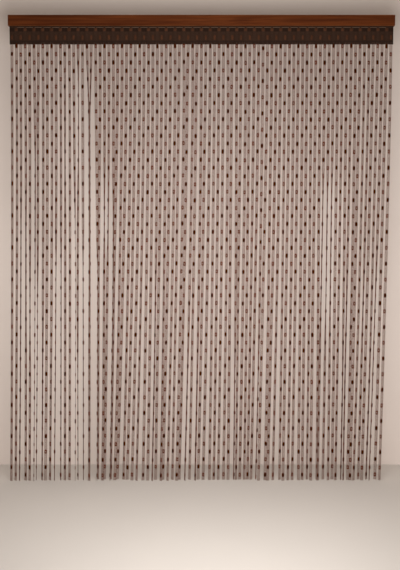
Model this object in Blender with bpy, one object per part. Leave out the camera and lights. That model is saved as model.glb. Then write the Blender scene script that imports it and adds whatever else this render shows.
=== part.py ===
"""A string curtain that hangs from a plain wooden rail.

Flat woven ribbons hang side by side from a dark woven heading, whose top edge
sits in a groove under the rail.
The origin is the middle of the rail's flat top face, by which it all hangs.
X runs along the curtain, Y from its front to its back, and Z up.
"""

import math
from collections import namedtuple

import bmesh
import bpy
from mathutils import Matrix, Vector

# The ribbons, in metres, side by side at an even pitch.
STRAND_COUNT = 87
PITCH = 0.0239
RIBBON_WIDTH = 0.016
RIBBON_THICKNESS = 0.0016
SECTIONS = 12

# The corners that bound each side of a ribbon: its front, right, back and left. The
# front and the back are both cut from left to right, so a turned ribbon stays whole.
RIBBON_SIDES = ((0, 1), (1, 2), (3, 2), (0, 3))

# The drop runs from the rail's underside to the ribbons' cut ends.
DROP = 2.50
HEADING_HEIGHT = 0.098
HEADING_THICKNESS = 0.0024
ROOT_STRIP_HEIGHT = 0.006
GAP = 0.0003

# The wooden rail and the groove that holds the heading.
RAIL_HEIGHT = 0.056
RAIL_DEPTH = 0.024
RAIL_OVERHANG = 0.006
RAIL_CHAMFER = 0.002
GROOVE_DEPTH = 0.0085
TUCK = 0.008

WIDTH = STRAND_COUNT * PITCH
MIDDLE_STRAND = (STRAND_COUNT - 1) / 2
ROOT_Z = -RAIL_HEIGHT - HEADING_HEIGHT
HEM_Z = -RAIL_HEIGHT - DROP

# How each ribbon hangs by itself.
DEPTH_STEP = 0.005
DEPTH_REACHED = 0.12
LOOSE_DEPTH = 0.006
LOOSE_SIDE = 0.005
OWN_TURN = math.radians(30)
TURN_SPREAD = 0.2
UNEVEN_END = 0.006
GOLDEN = (math.sqrt(5) - 1) / 2

# How far the ribbons' ends have swung sideways, from the left edge to the right.
Sway = namedtuple("Sway", "strand hem_mm")
SWAYS = [
    Sway(0, -37),
    Sway(4, -30),
    Sway(8, -37),
    Sway(13, -20),
    Sway(17, -13),
    Sway(21, -27),
    Sway(25, -56),
    Sway(28, -57),
    Sway(32, -38),
    Sway(36, -44),
    Sway(40, -49),
    Sway(45, -35),
    Sway(51, -14),
    Sway(55, -30),
    Sway(58, -35),
    Sway(62, -23),
    Sway(66, -10),
    Sway(70, -10),
    Sway(76, -14),
    Sway(81, -37),
    Sway(86, -36),
]
SWAY_POWER = 1.4

# Groups of ribbons that have turned. Begins and full are shares of the length.
Turn = namedtuple("Turn", "first last begins full degrees")
TURNS = [
    Turn(0, 3, 0.02, 0.12, -24),
    Turn(2, 3, 0.28, 0.42, -57),
    Turn(3, 3, 0.62, 0.72, -28),
    Turn(4, 4, 0.45, 0.55, -56),
    Turn(4, 4, 0.64, 0.74, -24),
    Turn(5, 5, 0.12, 0.25, -54),
    Turn(6, 7, 0.02, 0.15, -24),
    Turn(5, 6, 0.45, 0.55, -67),
    Turn(7, 7, 0.60, 0.70, -57),
    Turn(9, 9, 0.60, 0.72, -30),
    Turn(10, 10, 0.25, 0.36, -29),
    Turn(11, 11, 0.02, 0.15, -31),
    Turn(10, 11, 0.41, 0.50, -62),
    Turn(12, 12, 0.00, 0.06, -34),
    Turn(12, 12, 0.14, 0.22, -60),
    Turn(12, 12, 0.30, 0.40, -30),
    Turn(13, 13, 0.00, 0.10, -28),
    Turn(14, 14, 0.05, 0.15, -24),
    Turn(14, 14, 0.25, 0.45, -73),
    Turn(15, 15, 0.00, 0.08, -62),
    Turn(15, 15, 0.28, 0.36, -30),
    Turn(15, 15, 0.62, 0.72, -64),
    Turn(16, 16, 0.28, 0.36, -30),
    Turn(16, 16, 0.41, 0.50, -66),
    Turn(17, 17, 0.00, 0.10, -58),
    Turn(17, 17, 0.50, 0.75, -30),
    Turn(18, 18, 0.00, 0.12, -70),
    Turn(19, 19, 0.41, 0.50, -72),
    Turn(20, 20, 0.42, 0.52, -36),
    Turn(21, 22, 0.12, 0.22, -30),
    Turn(21, 23, 0.28, 0.36, -65),
    Turn(21, 22, 0.44, 0.52, -24),
    Turn(23, 23, 0.48, 0.58, -76),
    Turn(24, 24, 0.42, 0.55, -36),
    Turn(27, 27, 0.40, 0.60, -30),
    Turn(30, 30, 0.46, 0.56, -36),
    Turn(33, 33, 0.42, 0.55, -66),
    Turn(35, 35, 0.40, 0.55, -34),
    Turn(37, 38, 0.46, 0.66, -36),
    Turn(40, 43, 0.46, 0.58, -32),
    Turn(41, 41, 0.62, 0.72, -64),
    Turn(43, 43, 0.62, 0.72, -64),
    Turn(47, 48, 0.60, 0.72, 30),
    Turn(51, 51, 0.30, 0.50, 32),
    Turn(51, 51, 0.62, 0.74, 64),
    Turn(52, 52, 0.42, 0.55, 40),
    Turn(55, 56, 0.30, 0.42, 24),
    Turn(57, 57, 0.46, 0.56, 34),
    Turn(57, 57, 0.62, 0.72, 68),
    Turn(61, 62, 0.46, 0.58, 32),
    Turn(64, 64, 0.46, 0.60, 22),
    Turn(68, 68, 0.46, 0.75, 34),
    Turn(71, 73, 0.25, 0.33, 61),
    Turn(72, 72, 0.46, 0.56, 71),
    Turn(71, 73, 0.62, 0.72, 26),
    Turn(75, 76, 0.46, 0.56, 26),
    Turn(76, 76, 0.62, 0.74, 56),
    Turn(77, 77, 0.12, 0.24, 28),
    Turn(77, 77, 0.48, 0.58, 56),
    Turn(80, 81, 0.02, 0.12, 26),
    Turn(81, 81, 0.46, 0.56, 56),
    Turn(81, 81, 0.62, 0.72, 24),
    Turn(84, 84, 0.42, 0.55, 56),
    Turn(83, 83, 0.62, 0.72, 55),
]

# Neighbours that slide over one another. What is left between their middles is
# apart_mm sideways, and the right one hangs behind_mm behind the left one.
Pair = namedtuple("Pair", "left begins full apart_mm behind_mm")
PAIRS = [
    Pair(5, 0.00, 0.20, 12, 12),
    Pair(14, 0.10, 0.62, 6, 17),
    Pair(17, 0.00, 0.17, 2, 15),
    Pair(19, 0.03, 0.50, 4, 18),
    Pair(21, 0.15, 1.00, 12, 13),
    Pair(23, 0.00, 0.60, 5, 14),
    Pair(25, 0.00, 0.90, 15, 10),
    Pair(33, 0.05, 0.80, 10, 12),
    Pair(35, 0.10, 1.00, 14, 12),
    Pair(37, 0.00, 0.10, 19, 10),
    Pair(39, 0.00, 0.10, 17, 10),
    Pair(41, 0.00, 0.10, 18, 10),
    Pair(43, 0.00, 0.30, 19, 10),
    Pair(49, 0.00, 0.10, 18, -10),
    Pair(51, 0.00, 0.60, 14, -14),
    Pair(53, 0.00, 0.10, 18, -12),
    Pair(57, 0.10, 1.00, 7, -15),
    Pair(59, 0.35, 0.70, 17, -13),
    Pair(62, 0.10, 0.60, 20, -10),
    Pair(68, 0.05, 1.00, 11, -12),
    Pair(70, 0.15, 1.00, 5, -13),
    Pair(72, 0.00, 0.60, 19, -10),
    Pair(74, 0.20, 0.80, 19, -10),
    Pair(76, 0.15, 1.00, 5, -14),
    Pair(78, 0.00, 0.50, 15, -14),
    Pair(81, 0.00, 0.10, 18, -10),
    Pair(83, 0.30, 0.70, 17, -10),
]
PAIR_OF = {strand: pair for pair in PAIRS for strand in (pair.left, pair.left + 1)}


def clear_scene():
    for obj in list(bpy.data.objects):
        bpy.data.objects.remove(obj)


def finish(name, color, roughness):
    material = bpy.data.materials.new(name)
    material.use_nodes = True
    surface = material.node_tree.nodes["Principled BSDF"]
    surface.inputs["Base Color"].default_value = (*color, 1.0)
    surface.inputs["Roughness"].default_value = roughness
    return material


def add_object(name, bm, material):
    bmesh.ops.recalc_face_normals(bm, faces=bm.faces)
    mesh = bpy.data.meshes.new(name)
    bm.to_mesh(mesh)
    bm.free()
    mesh.materials.append(material)
    obj = bpy.data.objects.new(name, mesh)
    bpy.context.collection.objects.link(obj)
    return obj


def eased(value, begins, full):
    """0 before begins, 1 after full, and a smooth rise between them."""
    share = min(max((value - begins) / (full - begins), 0.0), 1.0)
    return share * share * (3 - 2 * share)


def own_share(strand, salt):
    """A fixed uneven number from 0 to 1 for each strand."""
    return math.modf((strand + 1) * GOLDEN * salt)[0]


def hem_sway(strand):
    """The sideways swing of a strand's end, read between the rows of SWAYS."""
    for before, after in zip(SWAYS, SWAYS[1:]):
        if strand <= after.strand:
            share = (strand - before.strand) / (after.strand - before.strand)
            return (before.hem_mm + share * (after.hem_mm - before.hem_mm)) / 1000
    return SWAYS[-1].hem_mm / 1000


def strand_x(strand, down):
    """A strand's middle across the curtain, at a share of the way down."""
    x = (strand - MIDDLE_STRAND) * PITCH
    x += hem_sway(strand) * down**SWAY_POWER
    x += (2 * own_share(strand, 19) - 1) * LOOSE_SIDE * down**2
    if strand in PAIR_OF:
        pair = PAIR_OF[strand]
        swing = (hem_sway(pair.left + 1) - hem_sway(pair.left)) * down**SWAY_POWER
        closed = (PITCH + swing - pair.apart_mm / 1000) / 2
        side = 1 if strand == pair.left else -1
        x += side * closed * eased(down, pair.begins, pair.full)
    return x


def strand_depth(strand, down):
    """How far a strand hangs behind the heading. Neighbours take turns to be in front."""
    depth = (2 * own_share(strand, 17) - 1) * LOOSE_DEPTH * down
    if strand in PAIR_OF:
        pair = PAIR_OF[strand]
        side = -1 if strand == pair.left else 1
        return depth + side * pair.behind_mm / 2000 * eased(down, pair.begins, pair.full)
    side = 1 if strand % 2 else -1
    return depth + side * DEPTH_STEP * eased(down, 0.0, DEPTH_REACHED)


def strand_turn(strand, down):
    """How far a ribbon has turned about its own length, in radians."""
    lean = 2 * own_share(strand, 1) - 1
    wave = math.sin(math.tau * (own_share(strand, 3) + down * (0.5 + own_share(strand, 7))))
    turn = OWN_TURN * eased(down, 0.0, 0.3) * (0.6 * lean + 0.4 * wave)
    for row in TURNS:
        if row.first <= strand <= row.last:
            spread = 1 + TURN_SPREAD * (own_share(strand, 11) - 0.5)
            aim = math.radians(row.degrees) * spread
            turn += eased(down, row.begins, row.full) * (aim - turn)
    return turn


def ribbon_corners(strand, down, z):
    """The four corners of a ribbon's section, in the order of its root's face."""
    middle = Vector((strand_x(strand, down), strand_depth(strand, down), z))
    turned = Matrix.Rotation(strand_turn(strand, down), 3, "Z")
    half = (RIBBON_WIDTH / 2, RIBBON_THICKNESS / 2)
    return [
        middle + turned @ Vector((side_x * half[0], side_y * half[1], 0))
        for side_x, side_y in ((-1, -1), (1, -1), (1, 1), (-1, 1))
    ]


def make_rail(material):
    """A batten with chamfered front edges and a groove along its underside."""
    half_depth = RAIL_DEPTH / 2
    half_groove = HEADING_THICKNESS / 2 + GAP
    profile = [
        (-half_depth, 0),
        (half_depth, 0),
        (half_depth, -RAIL_HEIGHT),
        (half_groove, -RAIL_HEIGHT),
        (half_groove, -RAIL_HEIGHT + GROOVE_DEPTH),
        (-half_groove, -RAIL_HEIGHT + GROOVE_DEPTH),
        (-half_groove, -RAIL_HEIGHT),
        (-half_depth + RAIL_CHAMFER, -RAIL_HEIGHT),
        (-half_depth, -RAIL_HEIGHT + RAIL_CHAMFER),
    ]
    length = WIDTH + 2 * RAIL_OVERHANG
    bm = bmesh.new()
    end = bm.faces.new([bm.verts.new((-length / 2, y, z)) for y, z in profile])
    grown = bmesh.ops.extrude_face_region(bm, geom=[end])["geom"]
    moved = [item for item in grown if isinstance(item, bmesh.types.BMVert)]
    bmesh.ops.translate(bm, verts=moved, vec=(length, 0, 0))
    return add_object("rail", bm, material)


def make_heading(material):
    """A flat upright band from inside the rail's groove down to the ribbons' root strip."""
    bottom = ROOT_Z + ROOT_STRIP_HEIGHT
    top = -RAIL_HEIGHT + TUCK
    size = Matrix.Diagonal((WIDTH, HEADING_THICKNESS, top - bottom, 1))
    bm = bmesh.new()
    bmesh.ops.create_cube(bm, size=1, matrix=Matrix.Translation((0, 0, (top + bottom) / 2)) @ size)
    return add_object("heading", bm, material)


def hang_ribbon(bm, strand, root):
    """Draws one ribbon down from the four points of its root, and closes its cut end."""
    end_z = HEM_Z + UNEVEN_END * own_share(strand, 13)
    above = root
    for section in range(1, SECTIONS + 1):
        down = section / SECTIONS
        corners = ribbon_corners(strand, down, ROOT_Z + (end_z - ROOT_Z) * down)
        ring = [bm.verts.new(corner) for corner in corners]
        for one, other in RIBBON_SIDES:
            bm.faces.new((above[one], above[other], ring[other]))
            bm.faces.new((above[one], ring[other], ring[one]))
        above = ring
    bm.faces.new(above)


def make_strands(material):
    """A narrow strip along the heading's lower edge, and the ribbons that hang from it."""
    half = RIBBON_THICKNESS / 2
    top = ROOT_Z + ROOT_STRIP_HEIGHT - GAP
    section = ((-half, ROOT_Z), (half, ROOT_Z), (half, top), (-half, top))
    edges = [-WIDTH / 2]
    for strand in range(STRAND_COUNT):
        middle = strand_x(strand, 0)
        edges += [middle - RIBBON_WIDTH / 2, middle + RIBBON_WIDTH / 2]
    edges.append(WIDTH / 2)

    bm = bmesh.new()
    rings = [[bm.verts.new((x, y, z)) for y, z in section] for x in edges]
    for place, (left, right) in enumerate(zip(rings, rings[1:])):
        over_ribbon = place % 2 == 1
        for side in range(4):
            if side == 1 and over_ribbon:
                root = (left[0], right[0], right[1], left[1])
                hang_ribbon(bm, place // 2, root)
            else:
                bm.faces.new((left[side - 1], left[side], right[side], right[side - 1]))
    bm.faces.new(rings[0])
    bm.faces.new(rings[-1])
    return add_object("strands", bm, material)


def main():
    clear_scene()
    wood = finish("rail_wood", (0.17, 0.055, 0.02), 0.45)
    woven = finish("heading_weave", (0.06, 0.042, 0.034), 0.85)
    yarn = finish("ribbon_yarn", (0.13, 0.085, 0.065), 0.7)

    make_rail(wood)
    make_heading(woven)
    make_strands(yarn)


main()
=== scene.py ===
"""The looks of a string curtain that hangs from a wooden rail."""

import math
import random

import bmesh
import bpy
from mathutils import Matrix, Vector


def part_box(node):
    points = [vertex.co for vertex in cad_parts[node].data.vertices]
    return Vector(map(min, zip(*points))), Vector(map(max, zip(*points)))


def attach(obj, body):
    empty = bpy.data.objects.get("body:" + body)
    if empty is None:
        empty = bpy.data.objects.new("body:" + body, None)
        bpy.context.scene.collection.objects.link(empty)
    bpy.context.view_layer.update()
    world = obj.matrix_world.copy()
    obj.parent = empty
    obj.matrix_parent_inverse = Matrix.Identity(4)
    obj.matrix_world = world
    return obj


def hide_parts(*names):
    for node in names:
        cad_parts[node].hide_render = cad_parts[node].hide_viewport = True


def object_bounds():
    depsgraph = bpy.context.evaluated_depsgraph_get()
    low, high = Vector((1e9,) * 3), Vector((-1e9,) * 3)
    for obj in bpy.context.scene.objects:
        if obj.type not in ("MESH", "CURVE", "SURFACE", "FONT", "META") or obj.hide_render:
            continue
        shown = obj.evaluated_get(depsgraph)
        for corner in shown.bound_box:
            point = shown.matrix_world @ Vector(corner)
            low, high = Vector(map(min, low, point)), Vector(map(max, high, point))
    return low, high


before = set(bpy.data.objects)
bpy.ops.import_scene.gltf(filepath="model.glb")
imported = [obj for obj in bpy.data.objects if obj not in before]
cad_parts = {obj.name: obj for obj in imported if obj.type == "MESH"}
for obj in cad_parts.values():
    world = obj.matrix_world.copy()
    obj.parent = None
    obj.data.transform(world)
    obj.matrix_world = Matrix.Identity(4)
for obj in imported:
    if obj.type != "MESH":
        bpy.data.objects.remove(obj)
cad_low, cad_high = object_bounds()


# The rail is a planed batten of softwood, stained chestnut and varnished. It is
# sawn to length, and the heading's edge is stapled up inside its groove. The
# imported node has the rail's shape, so it stays and only gets its finish here.

WOOD_DARK = (0.054, 0.0112, 0.0021, 1)
WOOD_LIGHT = (0.134, 0.0340, 0.0076, 1)
WOOD_WORN = (0.19, 0.062, 0.018, 1)
WOOD_ROUGHNESS = (0.46, 0.64)
VARNISH = (0.005, 0.025)
GRAIN_STRETCH = (1.6, 34.0, 34.0)
GRAIN_CONTRAST = (0.34, 0.66)
PORE_STRETCH = (14.0, 620.0, 620.0)
PORE_CONTRAST = (0.38, 0.7)
PORE_DARKNESS = 0.45
PORE_DEPTH = 0.0004
WORN_EDGE = 0.003


def add_node(tree, kind, inputs=None, **settings):
    """Adds a node. Each input is named or numbered, and given a value or an output."""
    made = tree.nodes.new(kind)
    for name, value in settings.items():
        setattr(made, name, value)
    for name, value in (inputs or {}).items():
        if isinstance(value, bpy.types.NodeSocket):
            tree.links.new(value, made.inputs[name])
        else:
            made.inputs[name].default_value = value
    return made


def new_material(name, roughness, **inputs):
    """A material with one Principled BSDF, whose even values are set on its own sockets."""
    material = bpy.data.materials.new(name)
    material.use_nodes = True
    surface = material.node_tree.nodes["Principled BSDF"]
    surface.inputs["Roughness"].default_value = roughness
    for label, value in inputs.items():
        surface.inputs[label.replace("_", " ")].default_value = value
    return material, material.node_tree, surface


def color_mix(tree, share, first, second):
    """The output of a mix of two colours, which the node has as inputs 6 and 7."""
    inputs = {"Factor": share, 6: first, 7: second}
    return add_node(tree, "ShaderNodeMix", inputs, data_type="RGBA").outputs[2]


def math_node(tree, operation, *values, clamp=False):
    """The output of a Math node."""
    inputs = dict(enumerate(values))
    made = add_node(tree, "ShaderNodeMath", inputs, operation=operation, use_clamp=clamp)
    return made.outputs[0]


def map_range(tree, value, start, end, low=0.0, high=1.0):
    """The output that goes from low to high while value goes from start to end."""
    inputs = {"Value": value, "From Min": start, "From Max": end, "To Min": low, "To Max": high}
    return add_node(tree, "ShaderNodeMapRange", inputs).outputs[0]


def noise(tree, place, scale, detail, **inputs):
    """The output of a noise texture."""
    inputs.update(Vector=place, Scale=scale, Detail=detail)
    return add_node(tree, "ShaderNodeTexNoise", inputs).outputs[0]


def add_bump(tree, surface, height, strength, distance):
    """Gives a surface the relief of a height."""
    inputs = {"Height": height, "Strength": strength, "Distance": distance}
    bump = add_node(tree, "ShaderNodeBump", inputs)
    tree.links.new(bump.outputs[0], surface.inputs["Normal"])


def rail_finish():
    """Streaky stained wood with open pores, rubbed pale along its lower edge."""
    wood, tree, surface = new_material(
        "chestnut_stained_wood", 0.5, Specular_IOR_Level=0.06, Coat_Roughness=0.4
    )
    place = add_node(tree, "ShaderNodeTexCoord").outputs["Object"]
    along = add_node(tree, "ShaderNodeMapping", {"Vector": place, "Scale": GRAIN_STRETCH})
    growth = noise(tree, along.outputs[0], 1.0, 6, Distortion=1.4)
    fine = add_node(tree, "ShaderNodeMapping", {"Vector": place, "Scale": PORE_STRETCH})
    pores = noise(tree, fine.outputs[0], 1.0, 3)
    rings = map_range(tree, growth, *GRAIN_CONTRAST)
    streaks = map_range(tree, pores, *PORE_CONTRAST)
    stained = color_mix(tree, rings, WOOD_DARK, WOOD_LIGHT)
    dark_pores = math_node(tree, "MULTIPLY", streaks, PORE_DARKNESS)
    stained = color_mix(tree, dark_pores, stained, WOOD_DARK)

    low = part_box("rail")[0]
    height = add_node(tree, "ShaderNodeSeparateXYZ", {"Vector": place}).outputs["Z"]
    near_edge = map_range(tree, height, low.z + WORN_EDGE, low.z)
    rubbed = math_node(tree, "MULTIPLY", near_edge, streaks)
    for label, value in (
        ("Base Color", color_mix(tree, rubbed, stained, WOOD_WORN)),
        ("Roughness", map_range(tree, streaks, 0.0, 1.0, *WOOD_ROUGHNESS)),
        ("Coat Weight", map_range(tree, rings, 0.0, 1.0, *VARNISH)),
    ):
        tree.links.new(value, surface.inputs[label])
    add_bump(tree, surface, pores, 0.25, PORE_DEPTH)
    return wood


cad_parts["rail"].material_slots[0].material = rail_finish()


# The heading is a dense band that the same machine makes in one go with the
# ribbons: upright chains of yarn, bound side by side by dark weft. Here are its
# ground cloth, its chains and its picks, held by the staples in the groove.

RIBBON_COUNT = 87
CHAINS_A_PITCH = 10
CHAINS_OVER_RIBBON = 7
CHAIN_RADIUS = 0.00105
CHAIN_PARTS = 6
CHAIN_WANDER = 0.0006
CHAIN_WANDER_SCALE = 90.0
CHAIN_TONE = 0.5
PICK_PITCH = 0.003
PICK_RADIUS = 0.0008
PICK_TONE = 0.15
BOW_BACK = 0.35
GROUND_THICKNESS = 0.0011
GROUND_WAVE = 0.0004
GROUND_WAVE_COLUMNS = 11
GROUND_ROWS = 10
ROOT_STRIP = 0.0057
LOWER_BAND = 0.020
LOWER_BAND_EDGE = 0.004
LOWER_BAND_DARKNESS = 0.35
PATCH_SIZE = (0.026, 0.019)
PATCH_EDGE = 0.003
PATCH_DROP = 0.020
PATCH_DARKNESS = 0.75
RAGGED_SCALE = 260.0
BANDS_A_SCALE = 3.2
HEADING_MID = (0.045, 0.0220, 0.0132, 1)
HEADING_DARK_AND_SHADE = (0.0155, 0.0066, 0.0036, 1)
HEADING_PALE = (0.062, 0.0335, 0.0225, 1)

heading_low, heading_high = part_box("heading")
pitch = (heading_high.x - heading_low.x) / RIBBON_COUNT
heading_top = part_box("rail")[0].z
root_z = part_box("strands")[1].z - ROOT_STRIP
heading_height = heading_top - root_z


def column_x(column):
    """The middle of a ribbon's column in the heading, counted from the left."""
    return (column - (RIBBON_COUNT - 1) / 2) * pitch


def fibre_group():
    """Loose fibres of spun yarn: a height, and a colour with painted shade where the fibres lie
    low and darker random patches.
    """
    group = bpy.data.node_groups.new("spun_fibres", "ShaderNodeTree")
    face = group.interface
    for label, kind, value in (
        ("Color", "NodeSocketColor", (0.5, 0.5, 0.5, 1)),
        ("Shade", "NodeSocketColor", (0.1, 0.1, 0.1, 1)),
        ("Fibre Scale", "NodeSocketFloat", 900.0),
        ("Patch Scale", "NodeSocketFloat", 18.0),
        ("Patch Share", "NodeSocketFloat", 0.35),
    ):
        face.new_socket(label, in_out="INPUT", socket_type=kind).default_value = value
    face.new_socket("Color", in_out="OUTPUT", socket_type="NodeSocketColor")
    face.new_socket("Height", in_out="OUTPUT", socket_type="NodeSocketFloat")
    given = group.nodes.new("NodeGroupInput").outputs
    place = add_node(group, "ShaderNodeTexCoord").outputs["Object"]
    fibres = noise(group, place, given["Fibre Scale"], 3, Roughness=0.65)
    patches = noise(group, place, given["Patch Scale"], 2)
    spread = map_range(group, fibres, 0.3, 0.7)
    patch = math_node(group, "MULTIPLY", patches, given["Patch Share"])
    # Painted shade: the colour goes to the shade colour where the fibres lie low.
    low_fibre_shade = math_node(group, "MULTIPLY_ADD", spread, -0.55, 0.55)
    shade = math_node(group, "ADD", low_fibre_shade, patch, clamp=True)
    out = group.nodes.new("NodeGroupOutput")
    group.links.new(color_mix(group, shade, given["Color"], given["Shade"]), out.inputs["Color"])
    group.links.new(spread, out.inputs["Height"])
    return group


FIBRES = fibre_group()


def add_fibres(tree, color, shade, **values):
    """Places the fibre group in a material with its own colours and scales."""
    fibres = add_node(tree, "ShaderNodeGroup", node_tree=FIBRES)
    for label, value in {"Color": color, "Shade": shade, **values}.items():
        socket = fibres.inputs[label.replace("_", " ")]
        if isinstance(value, bpy.types.NodeSocket):
            tree.links.new(value, socket)
        else:
            socket.default_value = value
    return fibres.outputs["Color"], fibres.outputs["Height"]


def stitch_bands(tree, place, spacing, **inputs):
    """The output of level bands. A wave texture at scale 1 has about 3.2 bands a metre."""
    inputs.update(Vector=place, Scale=1.0 / spacing / BANDS_A_SCALE)
    waves = add_node(tree, "ShaderNodeTexWave", inputs, bands_direction="Z")
    return waves.outputs["Fac"]


def heading_finish():
    """Brown yarn with a patch of dark weft between the upper marks, a dark lower band, and
    painted shade where its fibres lie low.
    """
    cloth, tree, surface = new_material("heading_dark_weave", 0.9, Specular_IOR_Level=0.08)
    place = add_node(tree, "ShaderNodeTexCoord").outputs["Object"]
    split = add_node(tree, "ShaderNodeSeparateXYZ", {"Vector": place})
    in_columns = math_node(tree, "DIVIDE", split.outputs["X"], pitch)
    from_even = math_node(tree, "ADD", in_columns, (RIBBON_COUNT - 1) / 2)
    aside = math_node(tree, "MULTIPLY", math_node(tree, "PINGPONG", from_even, 1.0), pitch)
    off_row = math_node(tree, "SUBTRACT", split.outputs["Z"], heading_top - PATCH_DROP)
    rise = math_node(tree, "SUBTRACT", split.outputs["Z"], root_z)
    ragged = noise(tree, place, RAGGED_SCALE, 2)
    masks = []
    for distance, reach, soft in (
        (aside, PATCH_SIZE[0] / 2, PATCH_EDGE),
        (math_node(tree, "ABSOLUTE", off_row), PATCH_SIZE[1] / 2, PATCH_EDGE),
        (rise, LOWER_BAND, LOWER_BAND_EDGE),
    ):
        uneven = math_node(tree, "MULTIPLY_ADD", ragged, soft, distance)
        masks.append(map_range(tree, uneven, reach + soft, reach))
    patch = math_node(tree, "MULTIPLY", masks[0], masks[1])
    dark_patch = math_node(tree, "MULTIPLY", patch, PATCH_DARKNESS)
    dark_band = math_node(tree, "MULTIPLY", masks[2], LOWER_BAND_DARKNESS)
    dark = math_node(tree, "MAXIMUM", dark_patch, dark_band)
    tone = add_node(tree, "ShaderNodeAttribute", attribute_name="tone").outputs["Fac"]
    ground = color_mix(tree, tone, HEADING_MID, HEADING_PALE)
    ground = color_mix(tree, dark, ground, HEADING_DARK_AND_SHADE)
    # The dark weft's colour is also the painted shade where the yarn's fibres lie low.
    color, height = add_fibres(tree, ground, HEADING_DARK_AND_SHADE, Fibre_Scale=700.0, Patch_Share=0.3)
    tree.links.new(color, surface.inputs["Base Color"])
    stitches = stitch_bands(tree, place, PICK_PITCH, Distortion=1.2, Detail=2)
    add_bump(tree, surface, math_node(tree, "ADD", height, stitches), 0.6, 0.0005)
    return cloth


def new_tree(name, sizes):
    """A Geometry Nodes tree with a mesh in and out, and a named input for each size."""
    tree = bpy.data.node_groups.new(name, "GeometryNodeTree")
    face = tree.interface
    face.new_socket("Geometry", in_out="INPUT", socket_type="NodeSocketGeometry")
    for label, kind in sizes.items():
        face.new_socket(label, in_out="INPUT", socket_type="NodeSocket" + kind)
    face.new_socket("Material", in_out="INPUT", socket_type="NodeSocketMaterial")
    face.new_socket("Geometry", in_out="OUTPUT", socket_type="NodeSocketGeometry")
    return tree, tree.nodes.new("NodeGroupInput").outputs


def end_tree(tree, given, geometry):
    """Ends a tree with real, smooth meshes in one material."""
    real = add_node(tree, "GeometryNodeRealizeInstances", {"Geometry": geometry})
    smooth = add_node(tree, "GeometryNodeSetShadeSmooth", {"Geometry": real.outputs[0]})
    painted = add_node(
        tree,
        "GeometryNodeSetMaterial",
        {"Geometry": smooth.outputs[0], "Material": given["Material"]},
    )
    out = tree.nodes.new("NodeGroupOutput")
    tree.links.new(painted.outputs[0], out.inputs[0])


def grow(name, start, tree, values):
    """Runs a tree on a mesh and leaves its result as a plain mesh object."""
    obj = bpy.data.objects.new(name, start)
    bpy.context.collection.objects.link(obj)
    modifier = obj.modifiers.new(name, "NODES")
    modifier.node_group = tree
    for item in tree.interface.items_tree:
        if item.in_out == "INPUT" and item.name in values:
            modifier[item.identifier] = values[item.name]
    depsgraph = bpy.context.evaluated_depsgraph_get()
    made = bpy.data.meshes.new_from_object(
        obj.evaluated_get(depsgraph), preserve_all_data_layers=True, depsgraph=depsgraph
    )
    obj.modifiers.clear()
    obj.data = made
    made.name = name
    return obj


def stored(tree, label, data_type="FLOAT_VECTOR"):
    """The output that reads what a path or a point was given as its label."""
    kind = "GeometryNodeInputNamedAttribute"
    return add_node(tree, kind, {"Name": label}, data_type=data_type).outputs[0]


def scaled(tree, vector, factor):
    """The output that holds a vector times a factor."""
    inputs = {0: vector, "Scale": factor}
    return add_node(tree, "ShaderNodeVectorMath", inputs, operation="SCALE").outputs[0]


def shifted(tree, geometry, direction, distance):
    """The output that holds a geometry moved some distance in a direction."""
    inputs = {"Geometry": geometry, "Offset": scaled(tree, direction, distance)}
    return add_node(tree, "GeometryNodeSetPosition", inputs).outputs[0]


def bowed(tree, paths, across, share):
    """Paths moved out of the cloth's own plane by a share of the bow stored on them."""
    inputs = {0: across, 1: (0, 0, 1)}
    face = add_node(tree, "ShaderNodeVectorMath", inputs, operation="CROSS_PRODUCT")
    depth = math_node(tree, "MULTIPLY", stored(tree, "bow", "FLOAT"), share)
    return shifted(tree, paths, face.outputs[0], depth)


def as_tubes(tree, paths, sides, radius):
    """Paths as closed tubes of a few sides."""
    inputs = {"Resolution": sides, "Radius": radius}
    ring = add_node(tree, "GeometryNodeCurvePrimitiveCircle", inputs)
    inputs = {"Curve": paths, "Profile Curve": ring.outputs[0], "Fill Caps": True}
    return add_node(tree, "GeometryNodeCurveToMesh", inputs).outputs[0]


def tube_tree():
    """Yarns that run side by side along paths, each as a tube of a few sides."""
    tree, given = new_tree(
        "yarns_along_paths",
        {
            "Yarn Count": "Int",
            "Spread": "Float",
            "Half Width": "Float",
            "Radius": "Float",
            "Sides": "Int",
            "Wander": "Float",
            "Wander Scale": "Float",
        },
    )
    paths = add_node(tree, "GeometryNodeMeshToCurve", {"Mesh": given["Geometry"]})
    copies = add_node(
        tree,
        "GeometryNodeDuplicateElements",
        {"Geometry": paths.outputs[0], "Amount": given["Yarn Count"]},
        domain="SPLINE",
    )
    last = math_node(tree, "MAXIMUM", math_node(tree, "SUBTRACT", given["Yarn Count"], 1.0), 1.0)
    share = math_node(tree, "DIVIDE", copies.outputs["Duplicate Index"], last)
    aside = math_node(tree, "MULTIPLY", math_node(tree, "SUBTRACT", share, 0.5), given["Spread"])
    unevenness = add_node(
        tree,
        "ShaderNodeTexNoise",
        {
            "Vector": add_node(tree, "GeometryNodeInputPosition").outputs[0],
            "W": math_node(tree, "MULTIPLY", copies.outputs["Duplicate Index"], 3.7),
            "Scale": given["Wander Scale"],
            "Detail": 1,
        },
        noise_dimensions="4D",
    )
    centred = math_node(tree, "SUBTRACT", unevenness.outputs[0], 0.5)
    aside = math_node(tree, "MULTIPLY_ADD", centred, given["Wander"], aside)
    across = stored(tree, "across")
    yarns = shifted(tree, copies.outputs["Geometry"], across, aside)
    half = math_node(tree, "MAXIMUM", given["Half Width"], 0.001)
    out_share = math_node(tree, "DIVIDE", aside, half)
    curved = math_node(tree, "MULTIPLY_ADD", out_share, out_share, -BOW_BACK)
    yarns = bowed(tree, yarns, across, curved)
    end_tree(tree, given, as_tubes(tree, yarns, given["Sides"], given["Radius"]))
    return tree


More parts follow.
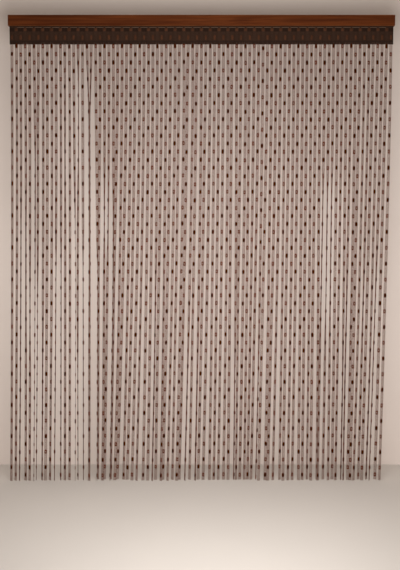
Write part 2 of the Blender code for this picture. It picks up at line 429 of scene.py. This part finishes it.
def path_mesh(name, paths):
    """Open lines as one mesh. Each path is (points, across at each point, tone, bow)."""
    mesh = bpy.data.meshes.new(name)
    points = []
    across = []
    tones = []
    bows = []
    edges = []
    for line, sideways, tone, bow in paths:
        first = len(points)
        points += line
        across += sideways
        tones += [tone] * len(line)
        bows += [bow] * len(line)
        edges += [(first + i, first + i + 1) for i in range(len(line) - 1)]
    mesh.from_pydata([tuple(p) for p in points], edges, [])
    sides = [value for side in across for value in side]
    mesh.attributes.new("across", "FLOAT_VECTOR", "POINT").data.foreach_set("vector", sides)
    mesh.attributes.new("tone", "FLOAT", "POINT").data.foreach_set("value", tones)
    mesh.attributes.new("bow", "FLOAT", "POINT").data.foreach_set("value", bows)
    return mesh


def straight(start, end, tone, parts):
    """A straight path from start to end, in equal parts, that faces the front."""
    line = [Vector(start).lerp(Vector(end), i / parts) for i in range(parts + 1)]
    return line, [(1, 0, 0)] * (parts + 1), tone, 0.0


def flat_cloth(name, low, high, thickness, columns, rows, wave):
    """A thin closed sheet between two corners that stands a little unevenly."""
    bm = bmesh.new()
    sides = []
    for face_y in (-thickness / 2, thickness / 2):
        grid = []
        for row in range(rows + 1):
            z = low.z + (high.z - low.z) * row / rows
            free = 1 - row / rows
            grid.append([])
            for column in range(columns + 1):
                x = low.x + (high.x - low.x) * column / columns
                turn = math.tau * column / GROUND_WAVE_COLUMNS
                bulge = wave * free * math.sin(turn) * math.sin(column)
                grid[-1].append(bm.verts.new((x, face_y + bulge, z)))
        sides.append(grid)
        for row in range(rows):
            for column in range(columns):
                below, above = grid[row], grid[row + 1]
                bm.faces.new((below[column], below[column + 1], above[column + 1], above[column]))
    front, back = sides
    rim = [(0, column) for column in range(columns)]
    rim += [(row, columns) for row in range(rows)]
    rim += [(rows, column) for column in range(columns, 0, -1)]
    rim += [(row, 0) for row in range(rows, 0, -1)]
    for (row, column), (next_row, next_column) in zip(rim, rim[1:] + rim[:1]):
        bm.faces.new(
            (
                front[row][column],
                front[next_row][next_column],
                back[next_row][next_column],
                back[row][column],
            )
        )
    bmesh.ops.recalc_face_normals(bm, faces=bm.faces)
    mesh = bpy.data.meshes.new(name)
    bm.to_mesh(mesh)
    bm.free()
    mesh.shade_smooth()
    obj = bpy.data.objects.new(name, mesh)
    bpy.context.collection.objects.link(obj)
    return obj


dark_weave = heading_finish()
heading_cloth = flat_cloth(
    "heading_cloth",
    Vector((heading_low.x, 0, root_z)),
    heading_high,
    GROUND_THICKNESS,
    RIBBON_COUNT * 2,
    GROUND_ROWS,
    GROUND_WAVE,
)
heading_cloth.data.materials.append(dark_weave)

TUBES = tube_tree()
chain_paths = []
for chain in range(RIBBON_COUNT * CHAINS_A_PITCH):
    chain_x = heading_low.x + (chain + 0.5) * pitch / CHAINS_A_PITCH
    from_middle = abs(chain % CHAINS_A_PITCH + 0.5 - CHAINS_A_PITCH / 2)
    tone = CHAIN_TONE if from_middle < CHAINS_OVER_RIBBON / 2 else 0.0
    start, end = (chain_x, 0, heading_high.z), (chain_x, 0, root_z)
    chain_paths.append(straight(start, end, tone, CHAIN_PARTS))
heading_chains = grow(
    "heading_chains",
    path_mesh("heading_chains", chain_paths),
    TUBES,
    {
        "Yarn Count": 1,
        "Radius": CHAIN_RADIUS,
        "Sides": 6,
        "Wander": CHAIN_WANDER,
        "Wander Scale": CHAIN_WANDER_SCALE,
        "Material": dark_weave,
    },
)

pick_paths = []
for pick in range(int(heading_height / PICK_PITCH)):
    pick_z = root_z + (pick + 0.5) * PICK_PITCH
    start, end = (heading_low.x, 0, pick_z), (heading_high.x, 0, pick_z)
    pick_paths.append(straight(start, end, PICK_TONE, RIBBON_COUNT))
heading_picks = grow(
    "heading_picks",
    path_mesh("heading_picks", pick_paths),
    TUBES,
    {"Yarn Count": 1, "Radius": PICK_RADIUS, "Sides": 6, "Material": dark_weave},
)
for piece in (heading_cloth, heading_chains, heading_picks):
    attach(piece, "root")
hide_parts("heading")


# A pale thread runs along the heading's top edge, close under the rail. It is
# polyester, laid in while the band is made, and it dips behind the cloth at
# every second ribbon.

EDGE_THREAD = (0.16, 0.104, 0.072, 1)
EDGE_THREAD_SHADE = (0.07, 0.042, 0.028, 1)
EDGE_THREAD_RADIUS = 0.0011
EDGE_THREAD_DROP = 0.0075
EDGE_THREAD_DIP = 0.0045


def thread_finish(name, color, shade):
    """Smooth sewing thread with a slight sheen, and painted shade where its fibres lie low."""
    thread, tree, surface = new_material(name, 0.62, Specular_IOR_Level=0.15)
    fibre_color, height = add_fibres(tree, color, shade, Fibre_Scale=1600.0, Patch_Share=0.25)
    tree.links.new(fibre_color, surface.inputs["Base Color"])
    add_bump(tree, surface, height, 0.5, 0.0002)
    return thread


def stitch(left, right, z, out):
    """One stitch on the heading's front, from left to right, whose ends go into the cloth."""
    shares = (0.0, 0.08, 0.3, 0.7, 0.92, 1.0)
    depths = (0.0, 0.35 * out, out, out, 0.35 * out, 0.0)
    line = [Vector((left + (right - left) * s, -d, z)) for s, d in zip(shares, depths)]
    return line, [(1, 0, 0)] * len(line), 0.0, 0.0


edge_stitches = []
for column in range(1, RIBBON_COUNT - 2, 2):
    edge_stitches.append(
        stitch(
            column_x(column) + EDGE_THREAD_DIP,
            column_x(column + 2) - EDGE_THREAD_DIP,
            heading_top - EDGE_THREAD_DROP,
            CHAIN_RADIUS + EDGE_THREAD_RADIUS * 0.6,
        )
    )
edge_thread = grow(
    "edge_thread",
    path_mesh("edge_thread", edge_stitches),
    TUBES,
    {
        "Yarn Count": 1,
        "Radius": EDGE_THREAD_RADIUS,
        "Sides": 6,
        "Material": thread_finish("pale_edge_thread", EDGE_THREAD, EDGE_THREAD_SHADE),
    },
)
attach(edge_thread, "root")


# Two rows of dark locking stitches bind the ribbons' yarns in place, just above the
# heading's lower edge. They are sewn through the band with a heavy thread.

LOCK_STITCH = (0.012, 0.0078, 0.0062, 1)
LOCK_STITCH_SHADE = (0.005, 0.0035, 0.003, 1)
LOCK_STITCHES_A_PITCH = 4
LOCK_STITCH_PITCH = pitch / LOCK_STITCHES_A_PITCH
LOCK_STITCH_LENGTH = LOCK_STITCH_PITCH * 0.7
LOCK_STITCH_RADIUS = 0.0009
LOCK_STITCH_RISES = (0.016, 0.0075)

lock_stitches = []
for rise in LOCK_STITCH_RISES:
    for count in range(RIBBON_COUNT * LOCK_STITCHES_A_PITCH):
        left = heading_low.x + (count + 0.15) * LOCK_STITCH_PITCH
        lock_stitches.append(
            stitch(
                left,
                left + LOCK_STITCH_LENGTH,
                root_z + rise,
                CHAIN_RADIUS + LOCK_STITCH_RADIUS * 0.5,
            )
        )
lock_stitch_rows = grow(
    "lock_stitch_rows",
    path_mesh("lock_stitch_rows", lock_stitches),
    TUBES,
    {
        "Yarn Count": 1,
        "Radius": LOCK_STITCH_RADIUS,
        "Sides": 5,
        "Material": thread_finish("dark_lock_stitch", LOCK_STITCH, LOCK_STITCH_SHADE),
    },
)
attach(lock_stitch_rows, "root")


# Each ribbon is knitted: nine fine upright yarns and a thicker one on each edge,
# caught by a fine weft that runs back and forth. Nothing fills the spaces, so the
# ribbon is sheer. It leaves the heading flat, and hangs as its solid does.

RIBBON_WIDTH = 0.016
STATIONS_A_SECTION = 3
SAME_CORNER = 0.00005
STRIP_MARGIN = 0.001
INNER_YARNS = 9
INNER_RADIUS = 0.00050
EDGE_RADIUS = 0.00058
EDGE_SPREAD = RIBBON_WIDTH - 2 * EDGE_RADIUS
WEFT_PITCH = 0.0066
WEFT_RADIUS = 0.00034
WEFT_SIDES = 3
YARN_WANDER = 0.0009
YARN_WANDER_SCALE = 9.0
RIBBON_BOW = (0.0003, 0.0013)
RIBBON_YARN = (0.262, 0.156, 0.122, 1)
RIBBON_YARN_SHADE = (0.122, 0.068, 0.053, 1)
RIBBON_YARN_PALE = (0.320, 0.215, 0.175, 1)
YARN_STITCH_PITCH = 0.0024
TUCK_IN_HEADING = 0.010


def ribbon_rings(node, below):
    """The four corners of each section of each ribbon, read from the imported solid."""
    solid = bmesh.new()
    solid.from_mesh(node.data)
    bmesh.ops.remove_doubles(solid, verts=solid.verts, dist=SAME_CORNER)
    strip = [vert for vert in solid.verts if vert.co.z > below]
    bmesh.ops.delete(solid, geom=strip, context="VERTS")
    ribbons = []
    waiting = dict.fromkeys(solid.verts)
    while waiting:
        reached = [waiting.popitem()[0]]
        found = []
        while reached:
            vert = reached.pop()
            found.append(vert.co.copy())
            for edge in vert.link_edges:
                other = edge.other_vert(vert)
                if other in waiting:
                    del waiting[other]
                    reached.append(other)
        found.sort(key=lambda point: -point.z)
        ribbons.append([found[i : i + 4] for i in range(0, len(found), 4)])
    solid.free()
    return sorted(ribbons, key=lambda rings: sum(point.x for point in rings[0]))


def ribbon_line(column, rings):
    """A ribbon's (middle, across) at its root and at each section of its solid."""
    line = [(Vector((column_x(column), 0, root_z)), Vector((1, 0, 0)))]
    for ring in rings:
        middle = sum(ring, Vector()) / 4
        corner = ring[0]
        mate = sorted(ring, key=lambda point: (point - corner).length)[2]
        across = (mate - corner).normalized()
        if across.dot(line[-1][1]) < 0:
            across.negate()
        line.append((middle, across))
    return line


def between(line, place):
    """A ribbon's (middle, across) at a place counted in sections, on a Catmull-Rom curve."""
    last = len(line) - 1
    index = min(int(place), last - 1)
    share = place - index
    start, end = line[index], line[index + 1]
    before = line[index - 1] if index else [2 * s - e for s, e in zip(start, end)]
    after = line[index + 2] if index + 2 <= last else [2 * e - s for s, e in zip(start, end)]
    weights = (
        -0.5 * share + share**2 - 0.5 * share**3,
        1 - 2.5 * share**2 + 1.5 * share**3,
        0.5 * share + 2 * share**2 - 1.5 * share**3,
        -0.5 * share**2 + 0.5 * share**3,
    )
    points = (before, start, end, after)
    middle = sum((w * p[0] for w, p in zip(weights, points)), Vector())
    across = sum((w * p[1] for w, p in zip(weights, points)), Vector())
    return middle, across.normalized()


def ribbon_finish():
    """Taupe yarn, a little paler on some ribbons, with painted shade where its fibres lie low and
    the small waists of its stitches.
    """
    yarn, tree, surface = new_material("ribbon_taupe_yarn", 0.75, Specular_IOR_Level=0.05)
    tone = add_node(tree, "ShaderNodeAttribute", attribute_name="tone").outputs["Fac"]
    base = color_mix(tree, tone, RIBBON_YARN, RIBBON_YARN_PALE)
    # The shade colour is painted shade where the yarn's fibres lie low.
    color, height = add_fibres(
        tree, base, RIBBON_YARN_SHADE, Fibre_Scale=1500.0, Patch_Scale=30.0, Patch_Share=0.3
    )
    tree.links.new(color, surface.inputs["Base Color"])
    place = add_node(tree, "ShaderNodeTexCoord").outputs["Object"]
    waists = stitch_bands(tree, place, YARN_STITCH_PITCH, Distortion=1.0)
    add_bump(tree, surface, math_node(tree, "ADD", height, waists), 0.5, 0.0003)
    return yarn


def weft_tree():
    """A fine thread that runs back and forth between the edges of each ribbon."""
    tree, given = new_tree(
        "weft_back_and_forth", {"Pitch": "Float", "Width": "Float", "Radius": "Float"}
    )
    paths = add_node(tree, "GeometryNodeMeshToCurve", {"Mesh": given["Geometry"]})
    turns = add_node(
        tree,
        "GeometryNodeResampleCurve",
        {"Curve": paths.outputs[0], "Length": given["Pitch"]},
        mode="LENGTH",
    )
    index = add_node(tree, "GeometryNodeSplineParameter").outputs["Index"]
    parity = math_node(tree, "MODULO", index, 2.0)
    side = math_node(tree, "SUBTRACT", parity, 0.5)
    aside = math_node(tree, "MULTIPLY", side, given["Width"])
    across = stored(tree, "across")
    thread = shifted(tree, turns.outputs[0], across, aside)
    thread = bowed(tree, thread, across, 1 - BOW_BACK)
    end_tree(tree, given, as_tubes(tree, thread, WEFT_SIDES, given["Radius"]))
    return tree


random.seed(11)
packed_rings = ribbon_rings(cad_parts["strands"], root_z - STRIP_MARGIN)
ribbon_lines = [ribbon_line(column, rings) for column, rings in enumerate(packed_rings)]
ribbon_tones = [random.random() for line in ribbon_lines]
ribbon_bows = [random.choice((-1, 1)) * random.uniform(*RIBBON_BOW) for line in ribbon_lines]
ribbon_paths = []
for line, tone, bow in zip(ribbon_lines, ribbon_tones, ribbon_bows):
    stations = (len(line) - 1) * STATIONS_A_SECTION
    places = [between(line, i / STATIONS_A_SECTION) for i in range(stations + 1)]
    root, across = places[0]
    places.insert(0, (root + Vector((0, 0, TUCK_IN_HEADING)), across))
    ribbon_paths.append(([p[0] for p in places], [tuple(p[1]) for p in places], tone, bow))

ribbon_yarn = ribbon_finish()
inner_yarns = grow(
    "ribbon_inner_yarns",
    path_mesh("ribbon_inner_yarns", ribbon_paths),
    TUBES,
    {
        "Yarn Count": INNER_YARNS,
        "Spread": EDGE_SPREAD * (INNER_YARNS - 1) / (INNER_YARNS + 1),
        "Half Width": EDGE_SPREAD / 2,
        "Radius": INNER_RADIUS,
        "Sides": 3,
        "Wander": YARN_WANDER,
        "Wander Scale": YARN_WANDER_SCALE,
        "Material": ribbon_yarn,
    },
)
edge_yarns = grow(
    "ribbon_edge_yarns",
    path_mesh("ribbon_edge_yarns", ribbon_paths),
    TUBES,
    {
        "Yarn Count": 2,
        "Spread": EDGE_SPREAD,
        "Half Width": EDGE_SPREAD / 2,
        "Radius": EDGE_RADIUS,
        "Sides": 4,
        "Material": ribbon_yarn,
    },
)
wefts = grow(
    "ribbon_wefts",
    path_mesh("ribbon_wefts", ribbon_paths),
    weft_tree(),
    {
        "Pitch": WEFT_PITCH,
        "Width": EDGE_SPREAD,
        "Radius": WEFT_RADIUS,
        "Material": ribbon_yarn,
    },
)
for piece in (inner_yarns, edge_yarns, wefts):
    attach(piece, "root")
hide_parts("strands")


# The blocks are chenille weft, laid across the ribbon row over row. Solid chestnut
# and hollow russet ones take turns down each ribbon and from ribbon to ribbon. The
# heading's are rust and flatter, wide in its upper row and tall in its lower one.

BLOCK_WIDTH = 0.0132
BLOCK_HEIGHT = 0.0226
BLOCK_DEPTH = 0.0037
BLOCK_ROWS = 4
BLOCK_FLAT = 0.72
BLOCK_NARROWING = 0.72
BLOCK_TROUGH = 0.75
BLOCK_END = 0.3
BLOCK_TILT = math.radians(3)
BLOCK_SIZE_SPREAD = 0.06
HOLLOW_WIDTH = 0.0130
HOLLOW_HEIGHT = 0.0216
HOLLOW_DEPTH = 0.0022
FRAME_SIDE = 0.0042
FRAME_END = 0.0072
FRAME_CORNERS = 12
BLOCK_SLIP = 0.0012
SLIPPED_RIBBON = {57: 0.012}
ROW_PITCH = 0.0874
FIRST_ROW = {1: 0.107, 0: 0.1507}
HEADING_ROW = {1: 0.0185, 0: 0.060}
HEADING_MARK_SCALE = {1: (1.39, 0.69, 0.82), 0: (1.11, 0.69, 1.17)}
CHESTNUT = (0.056, 0.0120, 0.0020, 1)
CHESTNUT_SHADE = (0.020, 0.0040, 0.0006, 1)
CHESTNUT_PAINTED_SHEEN = (0.290, 0.048, 0.004, 1)
RUSSET = (0.104, 0.0165, 0.0018, 1)
RUSSET_SHADE = (0.034, 0.0046, 0.0006, 1)
RUSSET_PAINTED_SHEEN = (0.340, 0.062, 0.006, 1)
RUST = (0.070, 0.0270, 0.0135, 1)
RUST_SHADE = (0.038, 0.0158, 0.0086, 1)
RUST_PAINTED_SHEEN = (0.090, 0.034, 0.016, 1)
FADING = 1.45


def chenille_pad():
    """Rows of chenille, one on another, narrower at both ends, with their rim marked for a
    painted sheen.
    """
    bm = bmesh.new()
    rim = bm.verts.layers.float.new("rim")
    rings = []
    steps = BLOCK_ROWS * 2
    for step in range(steps + 1):
        height = (step / steps - 0.5) * 2
        half = BLOCK_WIDTH / 2 * (1 - abs(height) ** 4 * BLOCK_NARROWING) ** 0.5
        flat = half * BLOCK_FLAT
        at_crest = step % 2 == 1
        depth = BLOCK_DEPTH if at_crest else BLOCK_DEPTH * BLOCK_TROUGH
        if step in (0, steps):
            depth = BLOCK_DEPTH * BLOCK_END
        corners = [(-half, 0), (-flat, -depth), (flat, -depth)]
        corners += [(half, 0), (flat, depth), (-flat, depth)]
        ring = [bm.verts.new((x, y, height * BLOCK_HEIGHT / 2)) for x, y in corners]
        for vert in ring if step in (0, steps) else (ring[0], ring[3]):
            vert[rim] = 1.0
        rings.append(ring)
    for below, above in zip(rings, rings[1:]):
        for side in range(6):
            bm.faces.new((below[side - 1], below[side], above[side], above[side - 1]))
    bm.faces.new(rings[0])
    bm.faces.new(rings[-1])
    return template("chenille_pad", bm)


def chenille_frame():
    """A hollow block: chenille above, below and along both edges, with its rim marked for a
    painted sheen.
    """
    bm = bmesh.new()
    rim = bm.verts.layers.float.new("rim")
    loops = []
    inner_width = HOLLOW_WIDTH - 2 * FRAME_SIDE
    inner_height = HOLLOW_HEIGHT - 2 * FRAME_END
    crest = (HOLLOW_WIDTH - FRAME_SIDE, HOLLOW_HEIGHT - FRAME_END)
    for width, height, depth in (
        (HOLLOW_WIDTH, HOLLOW_HEIGHT, 0),
        (*crest, -HOLLOW_DEPTH),
        (inner_width, inner_height, 0),
        (*crest, HOLLOW_DEPTH),
    ):
        loop = []
        for corner in range(FRAME_CORNERS):
            angle = math.tau * (corner + 0.5) / FRAME_CORNERS
            x = math.copysign(abs(math.cos(angle)) ** 0.5, math.cos(angle)) * width / 2
            z = math.copysign(abs(math.sin(angle)) ** 0.5, math.sin(angle)) * height / 2
            loop.append(bm.verts.new((x, depth, z)))
            loop[-1][rim] = 1.0 if depth == 0 else 0.0
        loops.append(loop)
    for loop, following in zip(loops, loops[1:] + loops[:1]):
        for corner in range(FRAME_CORNERS):
            bm.faces.new(
                (loop[corner - 1], loop[corner], following[corner], following[corner - 1])
            )
    return template("chenille_frame", bm)


def template(name, bm):
    """A small mesh object that a tree repeats. It is removed once it has been used."""
    bmesh.ops.recalc_face_normals(bm, faces=bm.faces)
    mesh = bpy.data.meshes.new(name)
    bm.to_mesh(mesh)
    bm.free()
    obj = bpy.data.objects.new(name, mesh)
    bpy.context.collection.objects.link(obj)
    return obj


def chenille_finish(name, color, shade, painted_sheen):
    """Cut pile, soft, matt and uneven: a painted sheen, lighter and redder, along its rim, and
    painted shade where its fibres lie low.
    """
    pile, tree, surface = new_material(name, 0.95, Specular_IOR_Level=0.03)
    tone = add_node(tree, "ShaderNodeAttribute", attribute_name="tone").outputs["Fac"]
    faded = tuple(value * FADING for value in color[:3]) + (1,)
    base = color_mix(tree, tone, color, faded)
    rim = add_node(tree, "ShaderNodeAttribute", attribute_name="rim").outputs["Fac"]
    # Painted sheen: the block's rim is given a lighter, redder colour.
    base = color_mix(tree, rim, base, painted_sheen)
    pile_color, height = add_fibres(
        tree, base, shade, Fibre_Scale=1100.0, Patch_Scale=240.0, Patch_Share=0.5
    )
    tree.links.new(pile_color, surface.inputs["Base Color"])
    add_bump(tree, surface, height, 0.9, 0.0008)
    return pile


def random_value(tree, low, high, seed):
    """The output that is another random number between low and high at each point."""
    inputs = {2: low, 3: high, "Seed": seed}
    return add_node(tree, "FunctionNodeRandomValue", inputs, data_type="FLOAT").outputs[1]


def block_tree():
    """A block at each point, turned as its ribbon is, and a little uneven in size and lie."""
    tree, given = new_tree(
        "blocks_on_ribbons",
        {"Block": "Object", "Size": "Vector", "Tilt": "Float", "Size Spread": "Float"},
    )
    shape = add_node(tree, "GeometryNodeObjectInfo", {"Object": given["Block"]})
    lie = add_node(
        tree,
        "FunctionNodeAxesToRotation",
        {"Primary Axis": stored(tree, "upward"), "Secondary Axis": stored(tree, "across")},
        primary_axis="Z",
        secondary_axis="X",
    )
    other_way = math_node(tree, "MULTIPLY", given["Tilt"], -1.0)
    lean = random_value(tree, other_way, given["Tilt"], 3)
    lean_turn = add_node(
        tree, "FunctionNodeAxisAngleToRotation", {"Axis": (0, 1, 0), "Angle": lean}
    )
    turned = add_node(
        tree,
        "FunctionNodeRotateRotation",
        {"Rotation": lie.outputs[0], "Rotate By": lean_turn.outputs[0]},
        rotation_space="LOCAL",
    )
    small = math_node(tree, "SUBTRACT", 1.0, given["Size Spread"])
    large = math_node(tree, "ADD", 1.0, given["Size Spread"])
    size = scaled(tree, given["Size"], random_value(tree, small, large, 8))
    blocks = add_node(
        tree,
        "GeometryNodeInstanceOnPoints",
        {
            "Points": given["Geometry"],
            "Instance": shape.outputs["Geometry"],
            "Rotation": turned.outputs[0],
            "Scale": size,
        },
    )
    end_tree(tree, given, blocks.outputs[0])
    return tree


def point_mesh(name, points):
    """Points with what a block needs to know. Each is (place, across, upward, tone)."""
    mesh = bpy.data.meshes.new(name)
    mesh.from_pydata([tuple(point[0]) for point in points], [], [])
    for column, label in ((1, "across"), (2, "upward")):
        values = [value for point in points for value in point[column]]
        mesh.attributes.new(label, "FLOAT_VECTOR", "POINT").data.foreach_set("vector", values)
    tones = [point[3] for point in points]
    mesh.attributes.new("tone", "FLOAT", "POINT").data.foreach_set("value", tones)
    return mesh


def at_height(line, z):
    """A ribbon's (middle, across, upward) where it passes the height z."""
    top, bottom = line[0][0].z, line[-1][0].z
    place = (top - z) / (top - bottom) * (len(line) - 1)
    middle, across = between(line, place)
    above = between(line, max(place - 0.1, 0))[0]
    below = between(line, min(place + 0.1, len(line) - 1))[0]
    return middle, across, (above - below).normalized()


random.seed(5)
block_points = {True: [], False: []}
mark_points = {1: [], 0: []}
for column, line in enumerate(ribbon_lines):
    drop = FIRST_ROW[column % 2] + SLIPPED_RIBBON.get(column, random.gauss(0, BLOCK_SLIP))
    row = 0
    while heading_top - drop - BLOCK_HEIGHT / 2 > line[-1][0].z:
        middle, across, upward = at_height(line, heading_top - drop)
        is_solid = (column // 2 + row) % 2 == 0
        block_points[is_solid].append((middle, across, upward, random.random() ** 2))
        drop += ROW_PITCH
        row += 1
    in_turn = column // 2 % 2
    tone = 0.2 + 0.6 * in_turn + 0.2 * random.random()
    middle = Vector((column_x(column), 0, heading_top - HEADING_ROW[column % 2]))
    mark_points[column % 2].append((middle, (1, 0, 0), (0, 0, 1), tone))

pad, hoop = chenille_pad(), chenille_frame()
BLOCKS = block_tree()
chestnut = chenille_finish("chestnut_chenille", CHESTNUT, CHESTNUT_SHADE, CHESTNUT_PAINTED_SHEEN)
russet = chenille_finish("russet_chenille", RUSSET, RUSSET_SHADE, RUSSET_PAINTED_SHEEN)
rust = chenille_finish("rust_chenille", RUST, RUST_SHADE, RUST_PAINTED_SHEEN)
for name, points, shape, size, material, slot in (
    ("solid_blocks", block_points[True], pad, (1, 1, 1), chestnut, "ribbon_yarn"),
    ("hollow_blocks", block_points[False], hoop, (1, 1, 1), russet, "ribbon_yarn"),
    ("heading_upper_marks", mark_points[1], pad, HEADING_MARK_SCALE[1], rust, "heading_weave"),
    ("heading_lower_marks", mark_points[0], pad, HEADING_MARK_SCALE[0], rust, "heading_weave"),
):
    piece = grow(
        name,
        point_mesh(name, points),
        BLOCKS,
        {
            "Block": shape,
            "Size": size,
            "Tilt": BLOCK_TILT,
            "Size Spread": BLOCK_SIZE_SPREAD,
            "Material": material,
        },
    )
    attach(piece, "root")
for shape in (pad, hoop):
    bpy.data.objects.remove(shape)


# The setting: a pale floor that the ribbons just reach, a pale wall behind them
# that is seen only from its front, soft light, and the camera.

FLOOR_COLOR = (0.62, 0.57, 0.52, 1)
WALL_COLOR = (0.755, 0.655, 0.592, 1)
WALL_DISTANCE = 0.30
FLOOR_SIZE = 14.0
WALL_SIZE = (9.0, 5.5)
MOTTLE_SCALE = 1.5
MOTTLE_DARKNESS = 0.93
LIGHT_SIZE = 1.4
WINDOW_LIGHT = (-0.02, -1.92, -1.20)
WINDOW_WATTS = 30.8
ROOM_LIGHT = (0.24, -1.92, -1.30)
ROOM_WATTS = 26.6
ROOM_COLOR = (0.76, 0.69, 0.63, 1)
ROOM_STRENGTH = 0.485
CAMERA_DISTANCE = 4.0
CAMERA_HEIGHT = 1.305
CAMERA_ASIDE = -0.0078
CAMERA_DOWN = math.radians(3.0)
FOCAL_PIXELS = 726.0
PHOTO_HEIGHT = 570
SENSOR = 36.0
floor_z = cad_low.z


def stage_plane(name, width, depth, material):
    """A level rectangle that faces up."""
    bm = bmesh.new()
    corners = ((-1, -1), (1, -1), (1, 1), (-1, 1))
    bm.faces.new([bm.verts.new((x * width / 2, y * depth / 2, 0)) for x, y in corners])
    mesh = bpy.data.meshes.new(name)
    bm.to_mesh(mesh)
    bm.free()
    mesh.materials.append(material)
    plane = bpy.data.objects.new(name, mesh)
    bpy.context.collection.objects.link(plane)
    return plane


def matt_finish(name, color):
    """Plain matt paint that is a little darker in places."""
    material, tree, surface = new_material(name, 0.9)
    place = add_node(tree, "ShaderNodeTexCoord").outputs["Object"]
    clouds = noise(tree, place, MOTTLE_SCALE, 3)
    darker = tuple(value * MOTTLE_DARKNESS for value in color[:3]) + (1,)
    tree.links.new(color_mix(tree, clouds, color, darker), surface.inputs["Base Color"])
    return material


def one_way(material):
    """Lets the wall be looked through from behind."""
    tree = material.node_tree
    surface = tree.nodes["Principled BSDF"]
    clear = add_node(tree, "ShaderNodeBsdfTransparent")
    behind = add_node(tree, "ShaderNodeNewGeometry").outputs["Backfacing"]
    either = add_node(
        tree, "ShaderNodeMixShader", {0: behind, 1: surface.outputs[0], 2: clear.outputs[0]}
    )
    tree.links.new(either.outputs[0], tree.nodes["Material Output"].inputs["Surface"])
    return material


floor = stage_plane("floor", FLOOR_SIZE, FLOOR_SIZE, matt_finish("pale_floor", FLOOR_COLOR))
floor.location = (0, 0, floor_z)
wall = stage_plane("wall", *WALL_SIZE, one_way(matt_finish("pale_wall", WALL_COLOR)))
wall.rotation_euler = (math.radians(90), 0, 0)
wall.location = (0, WALL_DISTANCE, floor_z + WALL_SIZE[1] / 2)

for name, place, watts in (
    ("window_light", WINDOW_LIGHT, WINDOW_WATTS),
    ("room_light", ROOM_LIGHT, ROOM_WATTS),
):
    lamp = bpy.data.lights.new(name, "AREA")
    lamp.shape = "DISK"
    lamp.size = LIGHT_SIZE
    lamp.energy = watts
    light = bpy.data.objects.new(name, lamp)
    light.location = place
    light.visible_camera = False
    aim = Vector((0, 0, floor_z / 2)) - light.location
    light.rotation_euler = aim.to_track_quat("-Z", "Y").to_euler()
    bpy.context.collection.objects.link(light)

world = bpy.data.worlds.new("room")
world.use_nodes = True
background = world.node_tree.nodes["Background"]
background.inputs["Color"].default_value = ROOM_COLOR
background.inputs["Strength"].default_value = ROOM_STRENGTH
bpy.context.scene.world = world
bpy.context.scene.view_settings.view_transform = "Standard"

lens = bpy.data.cameras.new("camera")
lens.sensor_width = SENSOR
lens.lens = FOCAL_PIXELS * SENSOR / PHOTO_HEIGHT
camera = bpy.data.objects.new("camera", lens)
camera.location = (CAMERA_ASIDE, -CAMERA_DISTANCE, floor_z + CAMERA_HEIGHT)
camera.rotation_euler = (math.radians(90) - CAMERA_DOWN, 0, 0)
bpy.context.collection.objects.link(camera)
bpy.context.scene.camera = camera
